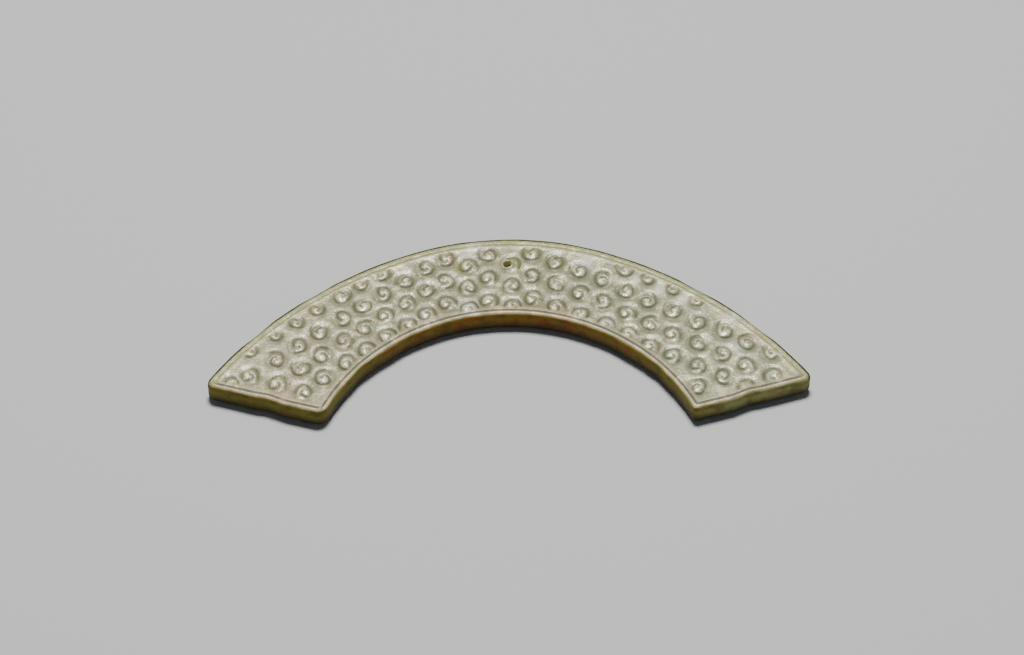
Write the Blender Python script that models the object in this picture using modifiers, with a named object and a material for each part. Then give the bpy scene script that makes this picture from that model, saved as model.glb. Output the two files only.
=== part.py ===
"""Jade huang: a flat arc of carved nephrite, lying face up.

A plate of even thickness is cut to an arc. A narrow raised rim runs all round its upper face, and the sunk
field inside the rim carries low round bosses in staggered columns. One small hole is drilled through near the
crown. The plate is symmetric in outline, and its origin is on its underside, at the middle of its box.

The outline and the bosses are set out about the centre of the inner arc, and then moved to the plate's origin.
"""

import math

import bmesh
import bpy
from mathutils import Vector

MM = 0.001

# The plate
THICKNESS = 5.5 * MM
INNER_RADIUS = 38.3 * MM
CROWN_RADIUS = 56.05 * MM
CROWN_HALF_ANGLE = math.radians(20)
ARRIS = 0.8 * MM
ARRIS_STEPS = 3

# The corners of one end, on the +X side, and the shoulder that hand grinding left between them
OUTER_CORNER = Vector((57.75, 23.0)) * MM
SHOULDER = (Vector((47.7, 20.15)) * MM, Vector((45.7, 19.8)) * MM, Vector((42.4, 18.35)) * MM)
INNER_CORNER = Vector((34.6, 16.2)) * MM
OUTER_CORNER_RADIUS = 1.1 * MM
INNER_CORNER_RADIUS = 1.2 * MM
LEAST_CORNER_RADIUS = 0.35 * MM
CORNER_STEPS = 4

# Shallow flats ground into the outer edge: angle from the crown, depth, and half width as an angle
EDGE_FLATS = (
    (math.radians(40.0), 0.40 * MM, math.radians(3.2)),
    (math.radians(54.0), 0.45 * MM, math.radians(3.2)),
)
ARC_STEP = math.radians(2.4)

# The face
RIM_WIDTH = 1.35 * MM
FIELD_DEPTH = 0.30 * MM
BOSS_RADIUS = 1.75 * MM
BOSS_HEIGHT = 0.24 * MM
BOSS_SIDES = 12
BOSS_RINGS = 6
BOSS_PITCH = 5.05 * MM
# One entry for each column of bosses: how far right it stands, how high its first boss is, and how many it has
BOSS_COLUMNS = (
    (-52.2, 23.9, 1), (-48.8, 30.5, 2), (-44.0, 34.0, 3), (-40.0, 36.8, 4), (-36.0, 39.8, 4),
    (-31.5, 42.9, 4), (-27.7, 45.7, 4), (-23.6, 48.5, 4), (-19.5, 46.4, 3), (-15.5, 49.4, 3),
    (-11.5, 51.6, 3), (-7.6, 50.0, 3), (-3.7, 52.2, 3), (0.9, 50.3, 3), (4.8, 52.4, 3), (9.3, 50.3, 3),
    (13.7, 48.4, 3), (18.2, 46.3, 3), (22.7, 48.6, 4), (27.0, 46.3, 4), (31.6, 43.7, 4), (36.1, 41.2, 5),
    (40.8, 33.9, 3), (44.9, 31.5, 3), (49.7, 28.9, 2),
)

# The hole, drilled from the face beside the boss at the crown
HOLE_CENTRE = Vector((0.1, 50.1)) * MM
HOLE_RADIUS = 0.75 * MM
HOLE_MOUTH_RADIUS = 0.95 * MM
HOLE_SIDES = 20

OVERSHOOT = 1.0 * MM
WELD = 0.001 * MM
FLAT = math.radians(0.1)


def clear_scene():
    for obj in list(bpy.data.objects):
        bpy.data.objects.remove(obj, do_unlink=True)


def collection(name):
    made = bpy.data.collections.new(name)
    bpy.context.scene.collection.children.link(made)
    return made


def nephrite():
    """Pale grey-green jade with a satin polish."""
    material = bpy.data.materials.new("nephrite")
    material.use_nodes = True
    shader = material.node_tree.nodes["Principled BSDF"]
    shader.inputs["Base Color"].default_value = (0.36, 0.37, 0.26, 1.0)
    shader.inputs["Roughness"].default_value = 0.38
    shader.inputs["Metallic"].default_value = 0.0
    return material


def flank_radius(angle):
    """Distance of the outer edge from the arc's centre, at an angle from the crown.

    The crown is an arc about the same centre as the inner edge. Past CROWN_HALF_ANGLE the edge follows a flatter
    arc, tangent to the crown, that runs out to the corner.
    """
    turn = abs(angle)
    if turn <= CROWN_HALF_ANGLE:
        radius = CROWN_RADIUS
    else:
        toward = Vector((math.sin(CROWN_HALF_ANGLE), math.cos(CROWN_HALF_ANGLE)))
        reach = OUTER_CORNER.length_squared - CROWN_RADIUS**2
        offset = reach / (2 * (CROWN_RADIUS - OUTER_CORNER.dot(toward)))
        along = offset * math.cos(turn - CROWN_HALF_ANGLE)
        across = offset * math.sin(turn - CROWN_HALF_ANGLE)
        radius = math.sqrt((CROWN_RADIUS + offset) ** 2 - across**2) - along
    for middle, depth, half_width in EDGE_FLATS:
        away = (turn - middle) / half_width
        if abs(away) < 1:
            radius -= depth * (1 - away * away) ** 2
    return radius


def polar(radius, angle):
    return Vector((radius * math.sin(angle), radius * math.cos(angle)))


def rounded_corner(before, corner, after, radius):
    """The points of an arc that rounds the corner between two straight edges."""
    back = (before - corner).normalized()
    ahead = (after - corner).normalized()
    half = back.angle(ahead) / 2
    middle = corner + (back + ahead).normalized() * radius / math.sin(half)
    start = corner + back * radius / math.tan(half) - middle
    end = corner + ahead * radius / math.tan(half) - middle
    swept = math.pi - 2 * half
    points = []
    for step in range(CORNER_STEPS + 1):
        part = step / CORNER_STEPS
        spoke = start * math.sin((1 - part) * swept) + end * math.sin(part * swept)
        points.append(middle + spoke / math.sin(swept))
    return points


def edge_points(radius_at, corner):
    """Points along a curved edge, evenly turned, from the corner on the -X side to the one on the +X side."""
    reach = math.atan2(corner.x, corner.y)
    count = 2 * round(reach / ARC_STEP)
    inner = [polar(radius_at(a), a) for a in (reach * (2 * i / count - 1) for i in range(1, count))]
    return [Vector((-corner.x, corner.y))] + inner + [corner]


def sharp_outline():
    """The plate's outline before its corners are rounded, clockwise, and each corner's rounding by its index."""
    outer = edge_points(flank_radius, OUTER_CORNER)
    inner = edge_points(lambda _: INNER_RADIUS, INNER_CORNER)
    left_shoulder = [Vector((-p.x, p.y)) for p in reversed(SHOULDER)]
    points = outer + list(SHOULDER) + inner[::-1] + left_shoulder
    inner_start = len(outer) + len(SHOULDER)
    corners = {
        0: OUTER_CORNER_RADIUS,
        len(outer) - 1: OUTER_CORNER_RADIUS,
        inner_start: INNER_CORNER_RADIUS,
        inner_start + len(inner) - 1: INNER_CORNER_RADIUS,
    }
    return points, corners


def inset(points, distance):
    """The same clockwise outline moved inwards, each corner along its own bisector."""
    moved = []
    for i, point in enumerate(points):
        before = (point - points[i - 1]).normalized()
        after = (points[(i + 1) % len(points)] - point).normalized()
        inward = Vector((before.y + after.y, -before.x - after.x)).normalized()
        moved.append(point + inward * distance / inward.dot(Vector((before.y, -before.x))))
    return moved


def outline(distance):
    """The outline set in by a distance, with its corners rounded."""
    sharp, corners = sharp_outline()
    sharp = inset(sharp, distance)
    points = []
    for i, point in enumerate(sharp):
        if i in corners:
            radius = max(corners[i] - distance, LEAST_CORNER_RADIUS)
            points.extend(rounded_corner(sharp[i - 1], point, sharp[(i + 1) % len(sharp)], radius))
        else:
            points.append(point)
    return points


def slab(name, points, low, high):
    """A flat closed mesh of the outline, from a filled 2D curve."""
    curve = bpy.data.curves.new(name + "_outline", "CURVE")
    curve.dimensions = "2D"
    curve.fill_mode = "BOTH"
    curve.extrude = (high - low) / 2
    spline = curve.splines.new("POLY")
    spline.points.add(len(points) - 1)
    for place, point in zip(spline.points, points):
        place.co = (point.x, point.y, 0.0, 1.0)
    spline.use_cyclic_u = True
    guide = bpy.data.objects.new(name + "_outline", curve)
    bpy.context.scene.collection.objects.link(guide)
    bpy.context.view_layer.update()
    evaluated = guide.evaluated_get(bpy.context.evaluated_depsgraph_get())
    mesh = bpy.data.meshes.new_from_object(evaluated)
    bpy.data.objects.remove(guide, do_unlink=True)
    shape = bmesh.new()
    shape.from_mesh(mesh)
    bmesh.ops.remove_doubles(shape, verts=shape.verts, dist=WELD)
    inside = [e for e in shape.edges if e.calc_face_angle(1.0) < FLAT]
    bmesh.ops.dissolve_edges(shape, edges=inside, use_verts=False)
    bmesh.ops.translate(shape, verts=shape.verts, vec=(0, 0, (low + high) / 2))
    bmesh.ops.recalc_face_normals(shape, faces=shape.faces)
    shape.to_mesh(mesh)
    shape.free()
    mesh.name = name
    return bpy.data.objects.new(name, mesh)


def round_edges(obj):
    """Rounds the edges between the two faces of the plate and its walls."""
    bevel = obj.modifiers.new("arris", "BEVEL")
    bevel.width = ARRIS
    bevel.segments = ARRIS_STEPS
    bevel.use_clamp_overlap = False
    bevel.limit_method = "ANGLE"
    bevel.angle_limit = math.radians(60)


def boss_places():
    """The centres of the bosses, column by column from the left."""
    for x, top, count in BOSS_COLUMNS:
        for row in range(count):
            yield Vector((x * MM, top * MM - row * BOSS_PITCH))


def bosses(field):
    """Every boss as a low dome, in one mesh that joins the field."""
    shape = bmesh.new()
    foot = 0.3 * FIELD_DEPTH
    for place in boss_places():
        dome = bmesh.ops.create_uvsphere(shape, u_segments=BOSS_SIDES, v_segments=BOSS_RINGS, radius=1.0)
        bmesh.ops.scale(shape, verts=dome["verts"], vec=(BOSS_RADIUS, BOSS_RADIUS, BOSS_HEIGHT + foot))
        bmesh.ops.translate(shape, verts=dome["verts"], vec=(place.x, place.y, field - foot))
    mesh = bpy.data.meshes.new("boss_domes")
    shape.to_mesh(mesh)
    shape.free()
    return bpy.data.objects.new("boss_domes", mesh)


def drill():
    """The drill's path: straight through, and wider at the mouth where the cord has worn it."""
    shape = bmesh.new()
    length = THICKNESS + 2 * OVERSHOOT
    bmesh.ops.create_cone(
        shape, cap_ends=True, segments=HOLE_SIDES, radius1=HOLE_RADIUS, radius2=HOLE_MOUTH_RADIUS, depth=length
    )
    bmesh.ops.translate(shape, verts=shape.verts, vec=(HOLE_CENTRE.x, HOLE_CENTRE.y, THICKNESS / 2))
    mesh = bpy.data.meshes.new("drill")
    shape.to_mesh(mesh)
    shape.free()
    return bpy.data.objects.new("drill", mesh)


def combine(target, tool, operation):
    """Adds or cuts a helper shape, which stays out of the finished object."""
    step = target.modifiers.new(tool.name, "BOOLEAN")
    step.operation = operation
    step.solver = "EXACT"
    step.object = tool
    tool.hide_render = True
    tool.display_type = "WIRE"


def to_origin(objects, points):
    """Moves the meshes so that the origin is below the middle of the outline's box."""
    high = max(p.y for p in points)
    low = min(p.y for p in points)
    for obj in objects:
        for vertex in obj.data.vertices:
            vertex.co.y -= (high + low) / 2


def build():
    clear_scene()
    parts = collection("jade_huang")
    cutters = collection("cutters")
    edge = outline(0.0)
    field = THICKNESS - FIELD_DEPTH
    plate = slab("jade_plate", edge, 0.0, THICKNESS)
    sunk = slab("sunk_field", outline(RIM_WIDTH), field, THICKNESS + OVERSHOOT)
    domes = bosses(field)
    hole = drill()
    parts.objects.link(plate)
    for tool in (sunk, domes, hole):
        cutters.objects.link(tool)
    to_origin((plate, sunk, domes, hole), edge)
    plate.data.materials.append(nephrite())
    round_edges(plate)
    combine(plate, sunk, "DIFFERENCE")
    combine(plate, domes, "UNION")
    combine(plate, hole, "DIFFERENCE")
    plate.data.shade_smooth()
    plate.data.set_sharp_from_angle(angle=math.radians(35))


build()
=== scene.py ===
"""The jade huang as it looks: one carved plate of grey-green nephrite, lying face up on a plain pale floor.

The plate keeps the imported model's size and place. Its outline, rim, walls and grain pattern are set out in
millimetres about the centre of the inner arc, and moved to the plate's own frame when the mesh is written.
"""

import math

import bmesh
import bpy
import numpy as np
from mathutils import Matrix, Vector


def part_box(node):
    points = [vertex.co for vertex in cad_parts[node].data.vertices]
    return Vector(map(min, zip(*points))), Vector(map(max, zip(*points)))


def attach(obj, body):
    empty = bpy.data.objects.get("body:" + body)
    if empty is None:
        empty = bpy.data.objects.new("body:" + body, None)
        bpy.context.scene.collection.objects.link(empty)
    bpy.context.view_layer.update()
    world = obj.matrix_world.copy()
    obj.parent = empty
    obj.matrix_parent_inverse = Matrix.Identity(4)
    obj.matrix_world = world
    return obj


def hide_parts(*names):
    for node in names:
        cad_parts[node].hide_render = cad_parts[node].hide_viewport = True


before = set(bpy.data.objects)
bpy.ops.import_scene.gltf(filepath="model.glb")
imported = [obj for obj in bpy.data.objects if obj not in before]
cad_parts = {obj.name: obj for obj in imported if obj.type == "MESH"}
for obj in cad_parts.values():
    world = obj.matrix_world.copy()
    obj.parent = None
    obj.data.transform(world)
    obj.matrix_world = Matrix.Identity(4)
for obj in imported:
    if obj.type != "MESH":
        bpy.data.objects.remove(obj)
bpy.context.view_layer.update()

plate_low, plate_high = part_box("jade_plate")

MM = 0.001

# The plate's outline, in millimetres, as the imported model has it
THICKNESS = (plate_high.z - plate_low.z) / MM
INNER_RADIUS = 38.3
CROWN_RADIUS = 56.05
CROWN_HALF_ANGLE = math.radians(20)
ARC_CENTRE = np.array((0.0, plate_high.y / MM - CROWN_RADIUS))
OUTER_CORNER = np.array((57.75, 23.0))
SHOULDER = np.array(((47.7, 20.15), (45.7, 19.8), (42.4, 18.35)))
INNER_CORNER = np.array((34.6, 16.2))
SHOULDER_WEAR = 0.5
# Roundings of the four corners in plan: outer left, outer right, inner right, inner left
CORNER_RADII = (1.5, 1.2, 0.9, 2.3)
LEAST_CORNER_RADIUS = 0.35

# Uneven stretches left by hand grinding: angle from the crown, how far in, and half width as an angle
OUTER_DIPS = (
    (math.radians(40.0), 0.28, math.radians(4.6)),
    (math.radians(54.0), 0.30, math.radians(4.6)),
)
INNER_DIPS = (
    (math.radians(36.0), -0.12, math.radians(5.0)),
    (math.radians(46.5), 0.16, math.radians(4.0)),
)

# Ripples left by hand work: height, wave length, and a seed that sets where their waves fall. The edge's
# long waves shift by this share of the height up the wall, so that the wall isn't quite even.
FIELD_RIPPLES = ((0.035, 11.0, 1.3), (0.020, 3.1, 4.1), (0.008, 1.3, 2.9))
EDGE_WAVES = (0.04, 9.0, 2.2)
EDGE_TEETH = (0.015, 2.3, 0.7)
EDGE_SHIFT = 0.6
# Each ripple is a sum of crossed waves: how many, the angle from one to the next, the shortest one's length
# and how much longer each next one is, as shares of the ripple's, how far the seed shifts them, and what
# their sum is divided by
WAVES = 5
WAVE_TURN = 2.4
SHORTEST_WAVE = 0.7
WAVE_LENGTHENS = 0.23
WAVE_SHIFT = 1.7
WAVE_SUM = 2.6

# The rim: its width along the outer edge, the right end, the bay and the left end, and its section, from a
# rounded arris over a narrow crest to the groove that parts it from the field. The groove's place is its
# distance from the field, and the rings of points from the field to the arris are shares of the way in.
RIM_WIDTHS = (1.82, 1.35, 1.35, 1.35)
RIM_RINGS = (0.93, 0.87, 0.81, 0.75, 0.69, 0.63, 0.56)
ARRIS = 0.62
ARRIS_FALL = 1.35
ARRIS_STEPS = 7
RIM_GROOVE = 0.34
RIM_GROOVE_HALF = 0.30
RIM_GROOVE_DEPTH = 0.19
OUTER_GROOVE_DEPTH = 0.04

# The carved field. Its margin lies a hair below the rim's crest, which steps down to it at the groove, and
# the ground sinks to its lowest level over the ease.
MARGIN_DROP = 0.025
MARGIN_STEP = (2 * RIM_GROOVE, 0.6 * RIM_GROOVE)
FIELD_DROP = 0.32
FIELD_EASE = 0.9

# The ground rises where the grains are far away. The distances to all of them are blended into one, and the
# higher the sharpness, the more the nearest counts.
GROUND_RISE = 0.20
GROUND_SPAN = (1.6, 2.6)
GROUND_SHARPNESS = 3.0

# A grain of common size: how far out it matters, its dome, and the cut that winds in round it
GRAIN_REACH = 3.3
BOSS_HEIGHT = 0.30
BOSS_FOOT = 1.75
CUT_DEPTH = 0.26
CUT_HALF_WIDTH = 0.31
# Over these shares of its length the cut deepens at its tail, and grows shallower at its tip by this much
CUT_TAIL = 0.1
CUT_TIP = (0.8, 1.0)
CUT_TIP_RISE = 0.2
# The knob inside the cut: its size, and its place as a turn from the tail and a distance from the middle
KNOB_HEIGHT = 0.10
KNOB_RADIUS = 0.72
KNOB_TURN = 0.63
KNOB_OUT = 0.48

# The spiral cut, from the tip of its tail inwards: turns made, and distance from the middle of the grain
SPIRAL = (
    (0.0, 2.1), (0.06, 1.84), (0.11, 1.7), (0.18, 1.61), (0.28, 1.52), (0.36, 1.45),
    (0.48, 1.44), (0.56, 1.48), (0.64, 1.55), (0.74, 1.59), (0.79, 1.53), (0.84, 1.34),
    (0.88, 1.08), (0.93, 0.86), (1.0, 0.75), (1.08, 0.6), (1.17, 0.42), (1.26, 0.22),
)
SPIRAL_POINTS = 46
# How each spiral strays from that: how often in a turn, how far, and how much its own seed shifts it. The
# seed comes from the grain's place.
SPIRAL_STRAYS = ((2, 0.045, 1.0), (3, 0.03, 2.3))
SEED_BY_PLACE = (1.3, 0.7)

# The grains, column by column from the left: the first one's place, the last one's, and each one's spiral
# from the top down. l turns left on its way in and r turns right, the number is the clock hour that it
# starts at, and s marks a small grain and b a big one.
GRAIN_COLUMNS = (
    ((-52.3, 23.6), (-52.3, 23.6), "l4s"),
    ((-48.8, 30.6), (-48.8, 25.3), "r1s l5"),
    ((-44.2, 34.2), (-43.6, 23.5), "r1s r10 l5b"),
    ((-40.2, 37.0), (-38.7, 21.5), "r1s l8 l11b r7"),
    ((-36.3, 39.9), (-35.0, 24.6), "r1s l11 l2 l2b"),
    ((-31.6, 43.0), (-30.7, 28.0), "r1 l8 l6 l3"),
    ((-28.0, 45.6), (-26.9, 31.0), "r1s l11 l2 l4"),
    ((-23.9, 48.2), (-23.0, 34.1), "l8 l8 l5 l4"),
    ((-19.6, 46.4), (-19.0, 36.5), "l11 l4 r7"),
    ((-15.5, 49.4), (-15.5, 38.9), "l8 l11 l4"),
    ((-11.6, 51.4), (-11.6, 41.4), "l8 l7 l4"),
    ((-7.5, 50.0), (-7.4, 40.0), "l4 r7 l4"),
    ((-3.7, 52.3), (-3.5, 41.8), "l11 l5 l5"),
    ((0.9, 50.2), (0.9, 40.4), "l5 r7 l4"),
    ((4.8, 52.4), (4.8, 42.3), "l11 l8 l4"),
    ((9.3, 50.4), (9.2, 40.3), "l11 l1 l4"),
    ((13.8, 48.3), (13.8, 38.4), "l11 l4 r7"),
    ((18.2, 46.4), (18.5, 36.1), "l2 l8 l4"),
    ((22.7, 48.4), (22.8, 33.7), "l11 l10 l5 l4"),
    ((27.0, 46.2), (26.9, 31.0), "l1s r12 l2 l5"),
    ((31.7, 43.7), (31.1, 28.7), "l1s l11b l5 l6"),
    ((36.2, 41.0), (35.7, 21.5), "l11s l11b l1 l6 r10"),
    ((41.1, 34.1), (40.4, 23.7), "l12b l8 r4"),
    ((45.2, 31.4), (44.6, 21.4), "l1 l5 l4"),
    ((49.9, 29.0), (49.9, 24.0), "l11 r7"),
)
# The whole pattern is moved by this much, and a small and a big grain are these many times the common size
GRAIN_SHIFT = (0.0, -0.18)
GRAIN_SIZES = {"s": 0.79, "b": 1.06}

# The hole for the cord, beside the grain at the crown. Its mouth narrows to the bore in rings, each with
# its depth and the share of the widening that is left. The face round it is a little worn down. Open edges
# this near its middle belong to it.
HOLE = np.array((0.10, 50.22))
HOLE_RADIUS = 0.75
HOLE_MOUTH = 0.95
NEAR_HOLE = 2 * HOLE_MOUTH
HOLE_RINGS = ((0.42, 0.75), (0.70, 0.40), (1.1, 0.15), (1.7, 0.0))
MOUTH_WEAR = 0.10
MOUTH_WEAR_REACH = 0.6

# The underside: a rounded foot, a plain rim that the plate lies on, and a shallow field with low plain
# grains. Rings of points lead out from the field to the foot, round it and up the wall.
FOOT_ROUNDING = 1.15
FOOT_RISE = 1.7
FOOT_STEPS = 5
WALL_HEIGHTS = (2.3, 2.9, 3.5)
BACK_EDGE = 2.3
BACK_CREST = 1.65
BACK_RINGS = (2.1, 1.95, 1.8, 1.65, 1.4)
BACK_DEPTH = 0.16
BACK_EASE = 1.0
BACK_BOSS = 0.12
BACK_BOSS_TOP = 0.5

# Tints in the stone, and pale patches of painted highlight: where, and how wide
OLIVE_PATCHES = (
    (4.6, 53.4, 1.5), (-12.3, 53.0, 1.4), (0.7, 50.3, 1.9), (-8.6, 49.5, 1.5), (-30.0, 46.7, 1.5),
    (-38.0, 40.5, 1.5), (23.2, 49.3, 1.4), (41.0, 38.8, 1.2), (45.5, 34.0, 1.5), (49.7, 30.5, 1.4),
    (52.5, 26.0, 1.7),
)
RUSSET_PATCHES = (
    (46.7, 33.0, 1.2), (-49.0, 31.5, 1.2), (-36.5, 40.4, 1.1), (-33.3, 44.7, 1.0), (-18.5, 52.3, 1.4),
    (-11.0, 51.1, 0.9), (-1.0, 38.6, 2.2), (4.0, 38.6, 2.4), (9.5, 37.5, 2.2), (-43.0, 19.3, 2.0),
)
# The pale patches are painted highlights on the smooth ground
HIGHLIGHT_PATCHES = (
    (15.2, 50.3, 1.6), (24.6, 46.0, 1.2), (29.0, 43.4, 1.2), (33.3, 41.3, 1.2), (43.0, 37.0, 1.2),
    (43.2, 30.0, 1.3), (-7.4, 40.0, 1.2), (-6.5, 53.0, 1.6), (19.0, 36.2, 1.0),
)

# Marks on the surface, each from where it begins to where it is full, in millimetres: up the wall, over the
# relief, in towards a grain's middle, and in towards the hole's
UPPER_SIDE = (THICKNESS - 1.1, THICKNESS - 0.7)
# Over this span of the relief the raised points turn paler: worn stone, and painted highlight
CREST_HIGHLIGHT_SPAN = (0.16, 0.32)
POLISH_SPAN = (1.8, 1.2)
BORE_SPAN = (HOLE_MOUTH + 0.15, HOLE_RADIUS + 0.05)
# The wall's skin: out towards the nearest edge, and by how steep the surface is, from 0 level to 1 upright
WALL_REACH = (1.2, 0.5)
WALL_STEEPNESS = (0.32, 0.72)
# In from the outer edge: the skin and the dark line of painted shade along it, the olive band inside it,
# which also paints shade, and the rim's worn band, which is also painted highlight
FLANK_SKIN = (0.95, 0.5)
FLANK_SHADE_LINE = (1.2, 0.8)
FLANK_OLIVE_SHADE = (2.5, 1.7)
FLANK_WORN_HIGHLIGHT = (0.6, 2.4)
# The warm middle of the bay: by distance from the crown's line, and from the bay
WARM_SIDEWAYS = (36.0, 8.0)
WARM_FROM_BAY = (4.0, 1.0)
# Pale bands on the rim and along the field's margin, worn by handling and also painted highlight: middle and
# half width
RIM_WORN_HIGHLIGHT = (0.47, 0.45)
MARGIN_WORN_HIGHLIGHT = (0.35, 0.45)
# How much of a full mark these get
MARGIN_WORN_HIGHLIGHT_SHARE = 0.6
OUTER_GROOVE_SHARE = 0.5
RIDGE_POLISH = 0.3
FLANK_OLIVE_SHADE_SHARE = 0.95

# The mesh: cells along and across each face, which are halved on the carved face this close to a cut or to
# the edge of the hole's mouth, how far apart the outline's points are, and how many steps round a corner
FACE_CELLS = (452, 64)
BACK_CELLS = (226, 32)
FINE_REACH = 0.42
SIDE_STEP = 0.1
CORNER_STEPS = 16
# Distances from an end are measured from one in so many of its points, and what differs from side to side
# eases over at the corners along this share of the cells across
END_STRIDE = 4
CORNER_EASE = 0.25

# The studio: a pale floor, a dim sky and a soft lamp above the plate, in metres
FLOOR_REACH = 2.0
FLOOR_COLOUR = (0.395, 0.406, 0.435, 1.0)
FLOOR_ROUGHNESS = 0.85
SKY_COLOUR = (0.9, 0.95, 1.0, 1.0)
SKY_STRENGTH = 0.15
LAMP_PLACE = (0.0, 0.15, 0.84)
LAMP_SIZE = (0.20, 0.15)
LAMP_POWER = 14.0
LAMP_COLOUR = (1.0, 0.965, 0.89)

# Where the camera stands: it looks down at the plate from the side of the arc's bay
VIEW_TARGET = (0.795, -1.096)
VIEW_ELEVATION = math.radians(56.0)
VIEW_TURN = math.radians(-0.854)
VIEW_DISTANCE = 769.3
VIEW_LENS = 142.3
VIEW_SENSOR = 36.0
VIEW_CLIPS = (0.05, 20.0)


def smooth(low, high, value):
    """0 at low, 1 at high, an even ease between them and level beyond. Low may be the greater one."""
    part = np.clip((value - low) / (high - low), 0.0, 1.0)
    return part * part * (3.0 - 2.0 * part)


def hump(value):
    """A round hump: 1 at 0, and 0 from 1 outwards."""
    return (1.0 - np.clip(np.abs(value), 0.0, 1.0) ** 2) ** 2


def band(value, middle, half_width):
    """A round band: 1 along its middle, and 0 from half its width outwards."""
    return hump((value - middle) / half_width)


def unit(vector):
    return vector / np.hypot(*vector)


def ripple(points, scale, seed):
    """Soft unevenness between about -1 and 1, as a few crossed waves of about the given length."""
    total = np.zeros(len(points))
    for wave in range(WAVES):
        turn = seed + WAVE_TURN * wave
        length = scale * (SHORTEST_WAVE + WAVE_LENGTHENS * wave)
        across = points[:, 0] * math.cos(turn) + points[:, 1] * math.sin(turn)
        total += np.sin(2 * math.pi * across / length + WAVE_SHIFT * seed + wave * wave)
    return total / WAVE_SUM


def rippled(points, *ripples):
    """The heights of some ripples at each point, added up."""
    return sum(height * ripple(points, length, seed) for height, length, seed in ripples)


# ---- outline ----


def dipped(angle, radius, dips, sign):
    """A radius with its dips ground in, towards the arc's centre for sign 1 and away from it for -1."""
    for middle, depth, half_width in dips:
        radius = radius - sign * depth * band(np.abs(angle), middle, half_width)
    return radius


def flank_radius(angle):
    """The outer edge's distance from the arc's centre: the crown's arc, then a flatter one each way."""
    turn = np.maximum(np.abs(angle) - CROWN_HALF_ANGLE, 0.0)
    toward = np.array((math.sin(CROWN_HALF_ANGLE), math.cos(CROWN_HALF_ANGLE)))
    reach = OUTER_CORNER @ OUTER_CORNER - CROWN_RADIUS**2
    offset = reach / (2 * (CROWN_RADIUS - OUTER_CORNER @ toward))
    return np.sqrt((CROWN_RADIUS + offset) ** 2 - (offset * np.sin(turn)) ** 2) - offset * np.cos(turn)


def bay_radius(angle):
    """The inner edge's distance from the arc's centre, which is the same all along the bay."""
    return np.full_like(angle, INNER_RADIUS)


def worn_flank(angle):
    return dipped(angle, flank_radius(angle), OUTER_DIPS, 1)


def worn_bay(angle):
    return dipped(angle, bay_radius(angle), INNER_DIPS, -1)


def arc_side(radius_at, corner, sign):
    """A curved side as close points, from the left to the right for sign 1."""
    reach = math.atan2(*corner)
    angle = sign * np.linspace(-reach, reach, 2 * int(2 * reach * corner[1] / SIDE_STEP))
    radius = radius_at(angle)
    return np.column_stack((radius * np.sin(angle), radius * np.cos(angle)))


def even(points, count):
    """The same open line as count + 1 evenly spaced points."""
    run = np.concatenate(((0.0,), np.cumsum(np.hypot(*np.diff(points, axis=0).T))))
    places = np.linspace(0.0, run[-1], count + 1)
    return np.column_stack([np.interp(places, run, points[:, axis]) for axis in (0, 1)])


def end_side():
    """The right end, from the outer corner to the inner one, its ground shoulder worn soft.

    The wear is a bell-shaped average that reaches three times SHOULDER_WEAR each way, so the line is first
    carried on that far past both corners.
    """
    corners = np.vstack((OUTER_CORNER, SHOULDER, INNER_CORNER))
    length = np.hypot(*np.diff(corners, axis=0).T).sum()
    line = even(corners, round(length / SIDE_STEP))
    half = round(3 * SHOULDER_WEAR / SIDE_STEP)
    before = line[0] - np.arange(half, 0, -1)[:, None] * (line[1] - line[0])
    after = line[-1] + np.arange(1, half + 1)[:, None] * (line[-1] - line[-2])
    spread = np.exp(-0.5 * (np.arange(-half, half + 1) * SIDE_STEP / SHOULDER_WEAR) ** 2)
    padded = np.vstack((before, line, after))
    return np.column_stack([np.convolve(padded[:, a], spread / spread.sum(), "valid") for a in (0, 1)])


END = end_side()
FAR_END = (END * (-1, 1))[::-1]
TRUE_SIDES = (arc_side(flank_radius, OUTER_CORNER, 1), END, arc_side(bay_radius, INNER_CORNER, -1), FAR_END)
WORN_SIDES = (arc_side(worn_flank, OUTER_CORNER, 1), END, arc_side(worn_bay, INNER_CORNER, -1), FAR_END)


def moved_in(side, distance):
    """A side moved inwards. The outline runs clockwise, so inwards is to the right."""
    along = np.gradient(side, axis=0)
    along /= np.hypot(*along.T)[:, None]
    return side + distance * np.column_stack((along[:, 1], -along[:, 0]))


def rounded_corner(incoming, outgoing, radius):
    """Two sides trimmed at their corner, each with its half of the arc that joins them."""
    back = unit(incoming[-2] - incoming[-1])
    ahead = unit(outgoing[1] - outgoing[0])
    gap = outgoing[0] - incoming[-1]
    along = (gap[0] * ahead[1] - gap[1] * ahead[0]) / (back[0] * ahead[1] - back[1] * ahead[0])
    corner = incoming[-1] + along * back
    half = math.acos(back @ ahead) / 2
    reach = radius / math.tan(half)
    middle = corner + unit(back + ahead) * radius / math.sin(half)
    start, end = corner + back * reach - middle, corner + ahead * reach - middle
    swept = math.pi - 2 * half
    part = np.linspace(0.0, 1.0, CORNER_STEPS + 1)[:, None]
    arc = middle + (start * np.sin((1 - part) * swept) + end * np.sin(part * swept)) / math.sin(swept)
    incoming = incoming[(incoming - corner) @ back > reach]
    outgoing = outgoing[(outgoing - corner) @ ahead > reach]
    half_way = CORNER_STEPS // 2
    return np.vstack((incoming, arc[:half_way + 1])), np.vstack((arc[half_way:], outgoing))


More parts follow.
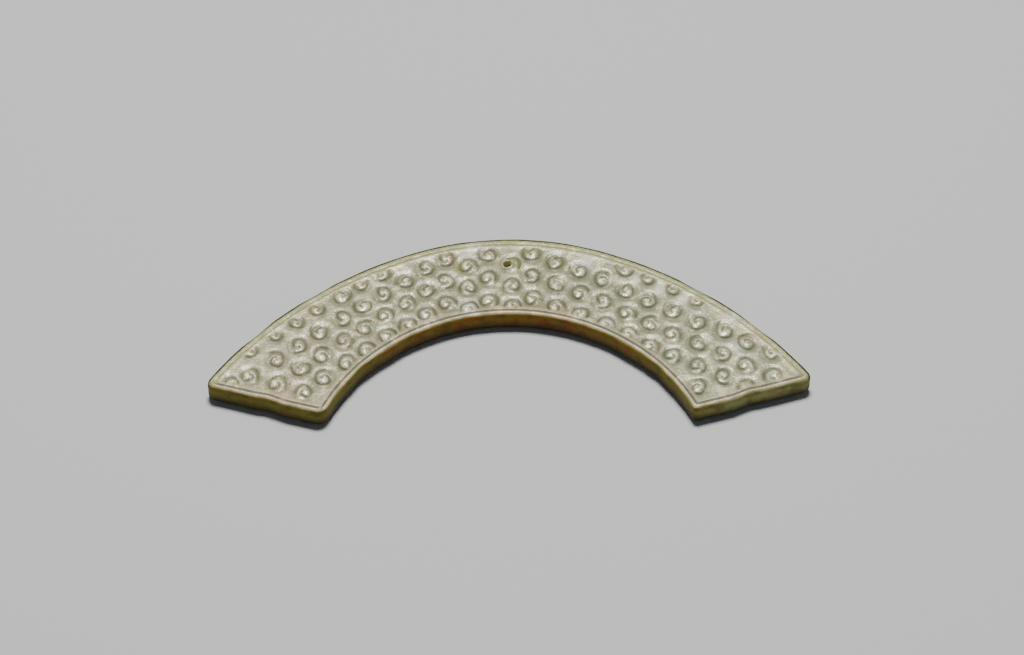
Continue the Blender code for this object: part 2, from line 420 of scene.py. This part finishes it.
def edge_sides(insets, cells):
    """The outline with each side set in by its own distance, as four evenly divided lines between corners.

    The edge itself has the ground dips, and the lines further in are true.
    """
    sides = TRUE_SIDES if any(insets) else WORN_SIDES
    sides = [moved_in(side, inset) for side, inset in zip(sides, insets)]
    for i, radius in enumerate(CORNER_RADII):
        held = max(radius - max(insets), LEAST_CORNER_RADIUS)
        sides[i - 1], sides[i] = rounded_corner(sides[i - 1], sides[i], held)
    return [even(side, cells[i % 2]) for i, side in enumerate(sides)]


def edge_loop(insets, cells):
    """The same four lines as one closed loop, clockwise from the outer left corner."""
    return np.vstack([side[:-1] for side in edge_sides(insets, cells)])


def edge_distance(points, insets=(0.0, 0.0, 0.0, 0.0)):
    """How far each point lies from the nearest edge, once each side has been set in by its own distance."""
    angle = np.arctan2(points[:, 0], points[:, 1])
    radius = np.hypot(*points.T)
    nearest = np.minimum(flank_radius(angle) - insets[0] - radius, radius - bay_radius(angle) - insets[2])
    folded = np.column_stack((np.abs(points[:, 0]), points[:, 1]))
    for place in END[::END_STRIDE]:
        nearest = np.minimum(nearest, np.hypot(*(folded - place).T) - insets[1])
    return nearest


def hole_distance(points):
    """How far each point lies from the hole's middle."""
    return np.hypot(*(points - HOLE).T)


# ---- grain pattern ----


def grains():
    """Each grain's place, size, turning direction and the angle that its spiral starts at."""
    for first, last, spirals in GRAIN_COLUMNS:
        spirals = spirals.split()
        for row, spiral in enumerate(spirals):
            part = row / max(len(spirals) - 1, 1)
            place = np.array(first) * (1 - part) + np.array(last) * part + GRAIN_SHIFT
            size = GRAIN_SIZES.get(spiral[-1], 1.0)
            hour = int(spiral.strip("lrsb"))
            yield place, size, (1 if spiral[0] == "l" else -1), math.radians(90 - 30 * hour)


GRAINS = list(grains())


def spiral_point(turn, radius, hand, start):
    """Points about a grain's middle, by turns made from the start and distance out."""
    angle = start + hand * 2 * math.pi * turn
    return np.column_stack((radius * np.cos(angle), radius * np.sin(angle)))


def spiral_path(size, hand, start, seed):
    """The spiral cut about its grain's middle, from its tail inwards, a little uneven as cut by hand."""
    turns, radii = np.array(SPIRAL).T
    turn = np.linspace(turns[0], turns[-1], SPIRAL_POINTS)
    radius = size * np.interp(turn, turns, radii)
    swing = 2 * math.pi * turn
    strays = sum(far * np.sin(often * swing + shift * seed) for often, far, shift in SPIRAL_STRAYS)
    return spiral_point(turn, radius * (1 + strays), hand, start)


def path_distance(points, path):
    """Each point's distance from a path, and how far along the path, from 0 to 1, it comes nearest."""
    start, step = path[:-1], np.diff(path, axis=0)
    away = points[:, None, :] - start
    part = np.clip((away * step).sum(2) / (step**2).sum(1), 0.0, 1.0)
    gap = np.hypot(*np.moveaxis(away - part[..., None] * step, 2, 0))
    nearest = gap.argmin(1)
    row = np.arange(len(points))
    return gap[row, nearest], (nearest + part[row, nearest]) / len(step)


def carving(points):
    """The relief above the lowest ground, the share of a full cut, the gap to a cut and the polish."""
    height = np.zeros(len(points))
    cut = np.zeros(len(points))
    clear = np.full(len(points), GRAIN_REACH)
    polish = np.zeros(len(points))
    pull = np.zeros(len(points))
    for place, size, hand, start in GRAINS:
        away = points - place
        reach = np.hypot(*away.T) / size
        pull += np.exp(-GROUND_SHARPNESS * reach)
        near = np.flatnonzero(reach < GRAIN_REACH)
        away, reach = away[near], reach[near]
        gap, along = path_distance(away, spiral_path(size, hand, start, place @ SEED_BY_PLACE))
        knob = np.hypot(*(away - size * spiral_point(np.array([KNOB_TURN]), KNOB_OUT, hand, start)).T)
        boss = BOSS_HEIGHT * np.clip(1 - (reach / BOSS_FOOT) ** 2, 0.0, 1.0)
        taper = smooth(0.0, CUT_TAIL, along) * (1 - CUT_TIP_RISE * smooth(*CUT_TIP, along))
        height[near] = np.maximum(height[near], boss) + KNOB_HEIGHT * hump(knob / KNOB_RADIUS / size)
        cut[near] = np.maximum(cut[near], taper * hump(gap / CUT_HALF_WIDTH))
        clear[near] = np.minimum(clear[near], gap)
        polish[near] = np.maximum(polish[near], smooth(*POLISH_SPAN, reach))
    spacing = -np.log(pull + 1e-9) / GROUND_SHARPNESS
    ridge = smooth(*GROUND_SPAN, spacing)
    return height + GROUND_RISE * ridge, cut, clear, np.maximum(polish, RIDGE_POLISH * ridge)


def face_height(points):
    """Height of the carved field above the underside."""
    height, cut, _, _ = carving(points)
    relief = height - CUT_DEPTH * cut + rippled(points, *FIELD_RIPPLES)
    worked = smooth(0.0, FIELD_EASE, edge_distance(points, RIM_WIDTHS))
    worn = MOUTH_WEAR * smooth(HOLE_MOUTH + MOUTH_WEAR_REACH, HOLE_MOUTH, hole_distance(points))
    return THICKNESS - MARGIN_DROP + worked * (MARGIN_DROP - FIELD_DROP + relief) - worn


def rim_height(distance, width, groove_depth):
    """Height of the upper face across its rim, from the edge in to the field."""
    turned = np.clip(1 - distance / ARRIS, 0.0, 1.0)
    arris = ARRIS_FALL * (1 - np.sqrt(1 - turned**2))
    groove = groove_depth * band(width - distance, RIM_GROOVE, RIM_GROOVE_HALF)
    step = MARGIN_DROP * smooth(*MARGIN_STEP, width - distance)
    return THICKNESS - arris - groove - step


# ---- mesh ----


def grid(shape, cells, insets):
    """A sheet of cells that fills the outline once it is set in.

    Its rows run straight between the ends and are bowed as the inner and the outer side are. Each of its
    edge points knows its turn round the outline.
    """
    along, across = cells
    turn = shape.verts.layers.int["turn"]
    outer, right, inner, left = edge_sides(insets, cells)
    inner, right = inner[::-1], right[::-1]
    sheet = bmesh.ops.create_grid(shape, x_segments=along, y_segments=across, size=0.5)["verts"]
    place = np.array([vert.co[:2] for vert in sheet]) + 0.5
    column = np.rint(place[:, 0] * along).astype(int)
    row = np.rint(place[:, 1] * across).astype(int)
    rightward, outward = (column / along)[:, None], (row / across)[:, None]
    leftward, inward = 1 - rightward, 1 - outward
    inner_chord = leftward * inner[0] + rightward * inner[-1]
    outer_chord = leftward * outer[0] + rightward * outer[-1]
    bowed = inward * (inner[column] - inner_chord) + outward * (outer[column] - outer_chord)
    filled = leftward * left[row] + rightward * right[row] + bowed
    for vert, (x, y), i, j in zip(sheet, filled, column, row):
        vert.co = (x, y, 0.0)
        if j == across:
            vert[turn] = i
        elif i == along:
            vert[turn] = along + (across - j)
        elif j == 0:
            vert[turn] = along + across + (along - i)
        elif i == 0:
            vert[turn] = 2 * along + across + j
    return sheet


def plan(verts):
    """Where each point lies, seen from above."""
    return np.array([vert.co[:2] for vert in verts])


def refine(shape, verts):
    """Halves the cells that a cut or the hole's mouth runs through, away from the sheet's own edge."""
    points = plan(verts)
    _, _, clear, _ = carving(points)
    clear = np.minimum(clear, np.abs(hole_distance(points) - HOLE_MOUTH))
    fine = {vert for vert, gap in zip(verts, clear) if gap < FINE_REACH}
    edges = [edge for edge in shape.edges if fine.issuperset(edge.verts) and not edge.is_boundary]
    bmesh.ops.subdivide_edges(shape, edges=edges, cuts=1, use_grid_fill=True)


def fresh_points(made):
    """The new points among what an extrusion made."""
    return {item for item in made if isinstance(item, bmesh.types.BMVert)}


def grow(shape, edges, ring):
    """Extrudes a loop of edges and moves each new point to its turn's place in the ring."""
    turn = shape.verts.layers.int["turn"]
    made = bmesh.ops.extrude_edge_only(shape, edges=edges)["geom"]
    fresh = fresh_points(made)
    for vert in fresh:
        vert.co = ring[vert[turn]]
    edges = [item for item in made if isinstance(item, bmesh.types.BMEdge)]
    return [edge for edge in edges if fresh.issuperset(edge.verts)]


def ring_maker(cells, insets):
    """A function that gives the points of a ring part of the way in from the edge, at a height."""
    edge, field = edge_loop((0.0, 0.0, 0.0, 0.0), cells), edge_loop(insets, cells)
    inward = field - edge
    inward /= np.hypot(*inward.T)[:, None]

    def ring(part, height):
        flat = edge + (field - edge) * part
        height = np.broadcast_to(height, len(flat))
        wobble = rippled(edge + height[:, None] * EDGE_SHIFT, EDGE_WAVES) + rippled(edge, EDGE_TEETH)
        flat = flat + inward * (wobble * smooth(1.0, 0.0, part))[:, None]
        return np.column_stack((flat, height))

    return ring


def by_side(values, cells):
    """A value for each point of a loop, from its side's own, with an ease at the corners."""
    along, across = cells
    given = np.repeat(values, (along, across, along, across))
    spread = np.hanning(round(across * CORNER_EASE))
    count = len(given)
    return np.convolve(np.tile(given, 3), spread / spread.sum(), "same")[count:2 * count]


def near_hole(edge):
    """True if both ends of an edge lie round the hole."""
    return (hole_distance(plan(edge.verts)) < NEAR_HOLE).all()


def open_edges(shape, hole):
    """The edges with one face only, round the hole or round the outside."""
    return [edge for edge in shape.edges if edge.is_boundary and near_hole(edge) == hole]


def draw_round(verts, radius):
    """Moves points straight to or from the hole's middle, onto a circle."""
    for vert in verts:
        vert.co.xy = HOLE + unit(np.array(vert.co[:2]) - HOLE) * radius


def open_hole(shape, verts, radius):
    """Takes out the cells inside the hole and draws the edge that is left into a circle."""
    gone = [vert for vert, distance in zip(verts, hole_distance(plan(verts))) if distance < radius]
    bmesh.ops.delete(shape, geom=gone, context="VERTS")
    edges = open_edges(shape, True)
    draw_round({vert for edge in edges for vert in edge.verts}, radius)
    return edges


def sink_mouth(shape, edges):
    """The hole's mouth, ring by ring down to its bore."""
    for depth, widening in HOLE_RINGS:
        fresh = fresh_points(bmesh.ops.extrude_edge_only(shape, edges=edges)["geom"])
        draw_round(fresh, HOLE_RADIUS + widening * (HOLE_MOUTH - HOLE_RADIUS))
        for vert in fresh:
            vert.co.z = THICKNESS - depth
        edges = [edge for edge in open_edges(shape, True) if edge.verts[0] in fresh]


def carved_face():
    """The upper face with its grains, its rim and arris, and the hole's worn mouth."""
    shape = bmesh.new()
    shape.verts.layers.int.new("turn")
    refine(shape, grid(shape, FACE_CELLS, RIM_WIDTHS))
    verts = list(shape.verts)
    for vert, z in zip(verts, face_height(plan(verts))):
        vert.co.z = z
    sink_mouth(shape, open_hole(shape, verts, HOLE_MOUTH))
    ring = ring_maker(FACE_CELLS, RIM_WIDTHS)
    width = by_side(RIM_WIDTHS, FACE_CELLS)
    depth = by_side((OUTER_GROOVE_DEPTH, *3 * (RIM_GROOVE_DEPTH,)), FACE_CELLS)
    turns = [math.radians(90 * step / ARRIS_STEPS) for step in range(1, ARRIS_STEPS + 1)]
    edges = open_edges(shape, False)
    for part in (*RIM_RINGS, *(RIM_RINGS[-1] * (1 - math.sin(turn)) for turn in turns)):
        edges = grow(shape, edges, ring(part, rim_height(part * width, width, depth)))
    return shape


def back_height(distance):
    """Height of the underside: its rounded foot, the rim that the plate lies on, and the shallow field."""
    turned = np.clip(1 - distance / FOOT_ROUNDING, 0.0, 1.0)
    foot = FOOT_RISE * (1 - np.sqrt(1 - turned**2))
    return foot + BACK_DEPTH * smooth(BACK_CREST, BACK_EDGE, distance)


def back_field(points, insets):
    """Height of the underside's field, with a low plain grain behind each carved one."""
    low = np.zeros(len(points))
    for place, size, _, _ in GRAINS:
        reach = np.hypot(*(points - place).T) / size
        low = np.maximum(low, smooth(BOSS_FOOT, BACK_BOSS_TOP, reach))
    return BACK_DEPTH - smooth(0.0, BACK_EASE, edge_distance(points, insets)) * BACK_BOSS * low


def plain_back():
    """The underside and the wall, up to where the carved face's arris begins."""
    shape = bmesh.new()
    shape.verts.layers.int.new("turn")
    insets = 4 * (BACK_EDGE,)
    sheet = grid(shape, BACK_CELLS, insets)
    for vert, z in zip(sheet, back_field(plan(sheet), insets)):
        vert.co.z = z
    open_hole(shape, sheet, HOLE_RADIUS)
    ring = ring_maker(BACK_CELLS, insets)
    turns = [math.radians(90 * step / FOOT_STEPS) for step in range(FOOT_STEPS + 1)]
    edges = open_edges(shape, False)
    for distance in (*BACK_RINGS, *(FOOT_ROUNDING * (1 - math.sin(turn)) for turn in turns)):
        edges = grow(shape, edges, ring(distance / BACK_EDGE, back_height(distance)))
    for height in WALL_HEIGHTS:
        edges = grow(shape, edges, ring(0.0, height))
    bmesh.ops.reverse_faces(shape, faces=shape.faces)
    return shape


def add_to(shape, other):
    """Moves everything in the other bmesh into this one."""
    mesh = bpy.data.meshes.new("moved")
    other.to_mesh(mesh)
    other.free()
    shape.from_mesh(mesh)
    bpy.data.meshes.remove(mesh)


def patches(points, places):
    """Soft round patches: 1 in the middle of each, fading out around it."""
    total = np.zeros(len(points))
    for x, y, radius in places:
        total = np.maximum(total, np.exp(-(((points - (x, y)) / radius) ** 2).sum(1)))
    return total


def surface_marks(points, upward):
    """How far each point is cut, worn, tinted, painted with shade or highlight, or part of the wall, from 0
    to 1, by the name of the mark.
    """
    flat, height = points[:, :2], points[:, 2]
    radius = np.hypot(*flat.T)
    from_edge = edge_distance(flat)
    from_flank = flank_radius(np.arctan2(*flat.T)) - radius
    inside = edge_distance(flat, RIM_WIDTHS)
    upper = smooth(*UPPER_SIDE, height)
    field = smooth(0.0, FIELD_EASE, inside)
    raised, cut, _, polish = carving(flat)
    groove = band(inside, -RIM_GROOVE, RIM_GROOVE_HALF)
    groove *= np.where(from_flank < RIM_WIDTHS[0], OUTER_GROOVE_SHARE, 1.0)
    upright = smooth(*WALL_STEEPNESS, 1 - np.abs(upward)) * smooth(*WALL_REACH, from_edge)
    # The pale band on the rim and margin is wear and also painted highlight; it is left off the outer edge
    worn = np.maximum(band(from_edge, *RIM_WORN_HIGHLIGHT), MARGIN_WORN_HIGHLIGHT_SHARE * band(inside, *MARGIN_WORN_HIGHLIGHT))
    # olive tint along the outer rim, there also as painted shade
    olive_shade_edge = FLANK_OLIVE_SHADE_SHARE * smooth(*FLANK_OLIVE_SHADE, from_flank)
    return {
        # dirt and painted shade in the cuts and grooves
        "cut": upper * np.maximum(cut * field, groove),
        "polish": polish * field,
        # raised points painted paler: wear and painted highlight
        "crest_wear_and_highlight": upper * field * smooth(*CREST_HIGHLIGHT_SPAN, raised),
        "rim": upper * worn * smooth(*FLANK_WORN_HIGHLIGHT, from_flank),
        "wall": np.maximum(upright, smooth(*FLANK_SKIN, from_flank)),
        # dark line of painted shade along the outer edge
        "outer_edge_shade": upper * smooth(*FLANK_SHADE_LINE, from_flank),
        "warm": smooth(*WARM_SIDEWAYS, np.abs(flat[:, 0])) * smooth(*WARM_FROM_BAY, radius - INNER_RADIUS),
        # the bore's paler colour is painted light
        "bore": smooth(*BORE_SPAN, hole_distance(flat)),
        "olive": np.maximum(patches(flat, OLIVE_PATCHES), olive_shade_edge),
        "russet": patches(flat, RUSSET_PATCHES),
        # pale patches of painted highlight
        "pale": patches(flat, HIGHLIGHT_PATCHES),
    }


def jade_plate(material):
    """The whole plate as one closed mesh in its own frame, with its marks as attributes."""
    shape = carved_face()
    add_to(shape, plain_back())
    for hole in (True, False):
        bmesh.ops.bridge_loops(shape, edges=open_edges(shape, hole))
    bmesh.ops.recalc_face_normals(shape, faces=shape.faces)
    points = np.array([vert.co for vert in shape.verts])
    for vert in shape.verts:
        vert.co.x = (vert.co.x + ARC_CENTRE[0]) * MM
        vert.co.y = (vert.co.y + ARC_CENTRE[1]) * MM
        vert.co.z = vert.co.z * MM + plate_low.z
    shape.normal_update()
    upward = np.array([vert.normal.z for vert in shape.verts])
    shape.verts.layers.int.remove(shape.verts.layers.int["turn"])
    mesh = bpy.data.meshes.new("carved_plate")
    shape.to_mesh(mesh)
    shape.free()
    for name, values in surface_marks(points, upward).items():
        mesh.attributes.new(name, "FLOAT", "POINT").data.foreach_set("value", values.astype(np.float32))
    mesh.shade_smooth()
    mesh.materials.append(material)
    plate = bpy.data.objects.new("carved_plate", mesh)
    bpy.context.scene.collection.objects.link(plate)
    return plate


# ---- materials ----


class Nodes:
    """Adds nodes to a material and joins them by the names of their sockets."""

    def __init__(self, tree):
        self.tree = tree

    def add(self, kind, settings=None, **inputs):
        """A new node with its settings, and its inputs given by name, with _ for a space."""
        made = self.tree.nodes.new("ShaderNode" + kind)
        for name, value in (settings or {}).items():
            setattr(made, name, value)
        for name, value in inputs.items():
            self.put(made.inputs[name.replace("_", " ")], value)
        return made

    def put(self, socket, value):
        """Sets a socket to a plain value, or joins it to another node's output."""
        if isinstance(value, bpy.types.NodeSocket):
            self.tree.links.new(value, socket)
        else:
            socket.default_value = value

    def maths(self, operation, *values):
        made = self.add("Math", {"operation": operation})
        for socket, value in zip(made.inputs, values):
            self.put(socket, value)
        return made.outputs[0]

    def mark(self, name):
        return self.add("Attribute", {"attribute_name": name}).outputs["Fac"]

    def noise(self, place, scale, detail=3.0, roughness=0.55):
        """Soft noise between 0 and 1, mostly near the middle. The scale is in clouds to a millimetre."""
        made = self.add("TexNoise", Vector=place, Scale=scale, Detail=detail, Roughness=roughness)
        return made.outputs["Fac"]

    def span(self, value, low, high, bottom=0.0, top=1.0):
        """Bottom where the value is at low, top where it is at high, and an even ease between them."""
        made = self.add("MapRange", {"interpolation_type": "SMOOTHSTEP"}, Value=value)
        for name, amount in (("From Min", low), ("From Max", high), ("To Min", bottom), ("To Max", top)):
            made.inputs[name].default_value = amount
        return made.outputs[0]

    def blend(self, part, first, second):
        """The first colour, with this part of it turned to the second.

        A Mix node has sockets of one name for numbers, vectors and colours, so the colours' go by number.
        """
        made = self.add("Mix", {"data_type": "RGBA"})
        for socket, value in ((0, part), (6, first), (7, second)):
            self.put(made.inputs[socket], value)
        return made.outputs[2]


def screen_colour(red, green, blue):
    """A colour given in 0 to 255 screen values, as the shader wants it."""
    parts = [value / 255 for value in (red, green, blue)]
    return tuple(p / 12.92 if p <= 0.04045 else ((p + 0.055) / 1.055) ** 2.4 for p in parts) + (1.0,)


# The noises that colour and gloss follow: how many clouds there are to a millimetre, then the detail and the
# roughness where these aren't the common ones
NOISES = {
    "broad": (0.11, 2.0),
    "rust": (0.3,),
    "clouds": (0.36, 4.0, 0.6),
    "mottling": (0.45, 2.0),
    "ragged": (0.5,),
    "tinge": (0.8, 2.0),
    "tooth": (2.3, 2.0, 0.5),
    "flecks": (2.6, 3.0, 0.6),
}

# The stone itself is browner to the left, greener to the right, clouded, tinged and flecked. Each layer of
# colour has what it follows, the span that this is read over, and how strong the layer is at its far end.
LEFT_STONE = screen_colour(124, 118, 93)
STONE_LAYERS = (
    ("sideways", (-50.0, 50.0), 1.0, screen_colour(108, 117, 91)),
    ("broad", (0.4, 0.65), 0.5, screen_colour(129, 123, 96)),
    ("outward", (15.0, 45.0), 0.12, screen_colour(210, 206, 178)),
    ("clouds", (0.50, 0.64), 0.75, screen_colour(214, 209, 176)),
    ("clouds", (0.49, 0.35), 0.7, screen_colour(104, 109, 84)),
    ("tinge", (0.54, 0.68), 0.45, screen_colour(154, 132, 108)),
    ("tinge", (0.47, 0.36), 0.5, screen_colour(118, 138, 96)),
    ("flecks", (0.44, 0.62), 0.45, screen_colour(78, 78, 62)),
)
# The bore is painted paler: painted light, as if coming through the stone
BORE_GLOW_STONE = screen_colour(194, 190, 148)

# What each mark turns the stone to, and the noise that breaks the mark up: the noise's settings, the span
# that it is read over, and how much of the mark is left at each end of that span
STAINS = {
    "olive": (screen_colour(126, 130, 68), (0.9,), (0.3, 0.6), (0.25, 0.85)),
    "russet": (screen_colour(148, 116, 88), (1.3,), (0.3, 0.6), (0.2, 0.7)),
    # the pale stain is painted highlight
    "pale": (screen_colour(204, 203, 192), (1.1,), (0.3, 0.6), (0.3, 0.8)),
    # paler raised points: wear and painted highlight
    "crest_wear_and_highlight": (screen_colour(240, 236, 206), (1.3, 2.0), (0.42, 0.60), (0.0, 0.7)),
    # the rim's pale band: wear and painted highlight
    "rim": (screen_colour(190, 173, 140), NOISES["clouds"], (0.3, 0.6), (0.3, 0.7)),
    # dirt and painted shade in the cuts and the rim's grooves
    "cut": (screen_colour(58, 60, 50), (0.7,), (0.3, 0.65), (0.7, 1.0)),
}

# The skin of the walls. It is olive, turns to a second olive over a span at the right, and is warm in the
# bay. The rust has its noise's span, and its shares where the skin isn't warm and where it is. The dark line
# along the outer edge is painted shade.
OLIVE_SKIN = screen_colour(114, 110, 30)
RIGHT_SKIN = screen_colour(142, 143, 84)
RIGHT_SPAN = (30.0, 44.0)
WARM_SKIN = screen_colour(124, 94, 12)
RUSTY_SKIN = screen_colour(128, 58, 0)
RUST_SPAN = (0.45, 0.65)
RUST_SHARES = (0.25, 0.8)
EDGE_SHADE_LINE = screen_colour(40, 42, 16)
# Over all that it is mottled, and darker down to the foot as painted shade, by layers like the stone's
SKIN_AND_SHADE_LAYERS = (
    ("mottling", (0.46, 0.66), 0.5, screen_colour(66, 66, 4)),
    # painted shade: darker towards the foot
    ("height", (3.9, 0.9), 0.9, screen_colour(34, 24, 0)),
)
# How the skin's border is made ragged: the noise's span, how far it moves the wall's mark, and the span that
# the moved mark is read over
RAGGED_SPAN = (0.35, 0.65)
RAGGED_SHIFT = (-0.12, 0.12)
SKIN_SPAN = (0.12, 0.85)

# Gloss: the stone's and the tint of its shine, the duller skin's, and the fine tooth on the stone
STONE_IOR = 1.61
STONE_SHINE = (1.0, 0.97, 0.86, 1.0)
SKIN_IOR = 1.25
SKIN_ROUGHNESS = 0.6
TOOTH_HEIGHT = 0.10 * MM
TOOTH_STRENGTH = 0.8

# The stone's roughness is a sum, least in its pale clouds and on the polished grains and most in the cuts.
# Each part has what it follows, the span that this is read over, and the roughness at each end of that span.
ROUGH_PARTS = (
    ("flecks", (0.3, 0.7), (-0.03, 0.04)),
    ("clouds", (0.38, 0.62), (0.35, 0.17)),
    ("polish", (0.0, 1.0), (0.12, 0.0)),
)
CUT_ROUGHER = 0.24


def layered(nodes, colour, layers, followed):
    """A colour with layers of others laid over it, each by what it follows."""
    for name, span, strength, layer in layers:
        colour = nodes.blend(nodes.span(followed[name], *span, 0.0, strength), colour, layer)
    return colour


def stained(nodes, place, stone):
    """The stone with its stains and painted highlights, its worn rim and crests, which are also painted
    highlight, and dirt and painted shade in its cuts.
    """
    for mark, (colour, grain, span, shares) in STAINS.items():
        broken = nodes.span(nodes.noise(place, *grain), *span, *shares)
        stone = nodes.blend(nodes.maths("MULTIPLY", nodes.mark(mark), broken), stone, colour)
    return stone


def wall_skin(nodes, followed):
    """The walls' colour: olive and brown, rusty in the bay, mottled, darker down to the foot as painted
    shade, and with a dark line of painted shade along the outer edge.
    """
    warm = nodes.mark("warm")
    rust = nodes.span(followed["rust"], *RUST_SPAN)
    rust = nodes.maths("MULTIPLY", rust, nodes.span(warm, 0.0, 1.0, *RUST_SHARES))
    skin = nodes.blend(nodes.span(followed["sideways"], *RIGHT_SPAN), OLIVE_SKIN, RIGHT_SKIN)
    skin = nodes.blend(warm, skin, WARM_SKIN)
    skin = nodes.blend(rust, skin, RUSTY_SKIN)
    skin = layered(nodes, skin, SKIN_AND_SHADE_LAYERS, followed)
    # the dark line along the outer edge is painted shade
    return nodes.blend(nodes.mark("outer_edge_shade"), skin, EDGE_SHADE_LINE)


def stone_roughness(nodes, followed):
    """How rough the polished stone is."""
    rough = nodes.maths("MULTIPLY", nodes.mark("cut"), CUT_ROUGHER)
    for name, span, ends in ROUGH_PARTS:
        rough = nodes.maths("ADD", rough, nodes.span(followed[name], *span, *ends))
    return rough


def nephrite():
    """Clouded grey-green stone, with a dull brown and olive skin on the walls."""
    material = bpy.data.materials.new("nephrite")
    material.use_nodes = True
    tree = material.node_tree
    nodes = Nodes(tree)
    coordinates = nodes.add("TexCoord").outputs["Object"]
    place = nodes.add("Mapping", Vector=coordinates, Scale=3 * (1 / MM,)).outputs[0]
    sideways, _, height = nodes.add("SeparateXYZ", Vector=place).outputs
    followed = {name: nodes.noise(place, *settings) for name, settings in NOISES.items()}
    followed["sideways"] = sideways
    followed["outward"] = nodes.maths("ABSOLUTE", sideways)
    followed["height"] = height
    followed["polish"] = nodes.mark("polish")
    ragged = nodes.span(followed["ragged"], *RAGGED_SPAN, *RAGGED_SHIFT)
    wall = nodes.span(nodes.maths("ADD", nodes.mark("wall"), ragged), *SKIN_SPAN)

    stone = stained(nodes, place, layered(nodes, LEFT_STONE, STONE_LAYERS, followed))
    stone = nodes.blend(wall, stone, wall_skin(nodes, followed))
    # painted light: the bore is painted paler
    stone = nodes.blend(nodes.mark("bore"), stone, BORE_GLOW_STONE)
    tooth = nodes.add("Bump", Height=followed["tooth"], Strength=TOOTH_STRENGTH, Distance=TOOTH_HEIGHT)

    polished = tree.nodes["Principled BSDF"]
    nodes.put(polished.inputs["Base Color"], stone)
    nodes.put(polished.inputs["Roughness"], stone_roughness(nodes, followed))
    nodes.put(polished.inputs["Normal"], tooth.outputs[0])
    polished.inputs["IOR"].default_value = STONE_IOR
    polished.inputs["Specular Tint"].default_value = STONE_SHINE
    dull = nodes.add("BsdfPrincipled", Base_Color=stone, Roughness=SKIN_ROUGHNESS, IOR=SKIN_IOR)
    joined = nodes.add("MixShader", Fac=wall)
    nodes.put(joined.inputs[1], polished.outputs[0])
    nodes.put(joined.inputs[2], dull.outputs[0])
    nodes.put(tree.nodes["Material Output"].inputs["Surface"], joined.outputs[0])
    return material


def floor_paint():
    material = bpy.data.materials.new("pale_floor")
    material.use_nodes = True
    shader = material.node_tree.nodes["Principled BSDF"]
    shader.inputs["Base Color"].default_value = FLOOR_COLOUR
    shader.inputs["Roughness"].default_value = FLOOR_ROUGHNESS
    return material


# ---- studio ----


def floor():
    shape = bmesh.new()
    bmesh.ops.create_grid(shape, x_segments=1, y_segments=1, size=FLOOR_REACH)
    bmesh.ops.translate(shape, verts=shape.verts, vec=(0.0, 0.0, plate_low.z))
    mesh = bpy.data.meshes.new("floor")
    shape.to_mesh(mesh)
    shape.free()
    mesh.materials.append(floor_paint())
    made = bpy.data.objects.new("floor", mesh)
    bpy.context.scene.collection.objects.link(made)
    return made


def aimed(name, data, place, target):
    """A lamp or camera that stands at a place and looks at a target."""
    made = bpy.data.objects.new(name, data)
    made.location = place
    made.rotation_euler = (Vector(target) - Vector(place)).to_track_quat("-Z", "Y").to_euler()
    bpy.context.scene.collection.objects.link(made)
    return made


def studio():
    world = bpy.data.worlds.new("studio")
    world.use_nodes = True
    sky = world.node_tree.nodes["Background"]
    sky.inputs["Color"].default_value = SKY_COLOUR
    sky.inputs["Strength"].default_value = SKY_STRENGTH
    bpy.context.scene.world = world
    lamp = bpy.data.lights.new("lamp", "AREA")
    lamp.shape = "RECTANGLE"
    lamp.size, lamp.size_y = LAMP_SIZE
    lamp.energy = LAMP_POWER
    lamp.color = LAMP_COLOUR
    aimed("lamp", lamp, LAMP_PLACE, (0.0, 0.0, 0.0))


def camera():
    lens = bpy.data.cameras.new("camera")
    lens.lens = VIEW_LENS
    lens.sensor_width = VIEW_SENSOR
    lens.clip_start, lens.clip_end = VIEW_CLIPS
    level = Vector((-math.sin(VIEW_TURN), math.cos(VIEW_TURN), 0.0))
    forward = level * math.cos(VIEW_ELEVATION) - Vector((0, 0, 1)) * math.sin(VIEW_ELEVATION)
    target = Vector((*VIEW_TARGET, THICKNESS)) * MM
    bpy.context.scene.camera = aimed("camera", lens, target - forward * VIEW_DISTANCE * MM, target)


plate = jade_plate(nephrite())
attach(plate, "root")
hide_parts("jade_plate")
floor()
studio()
camera()
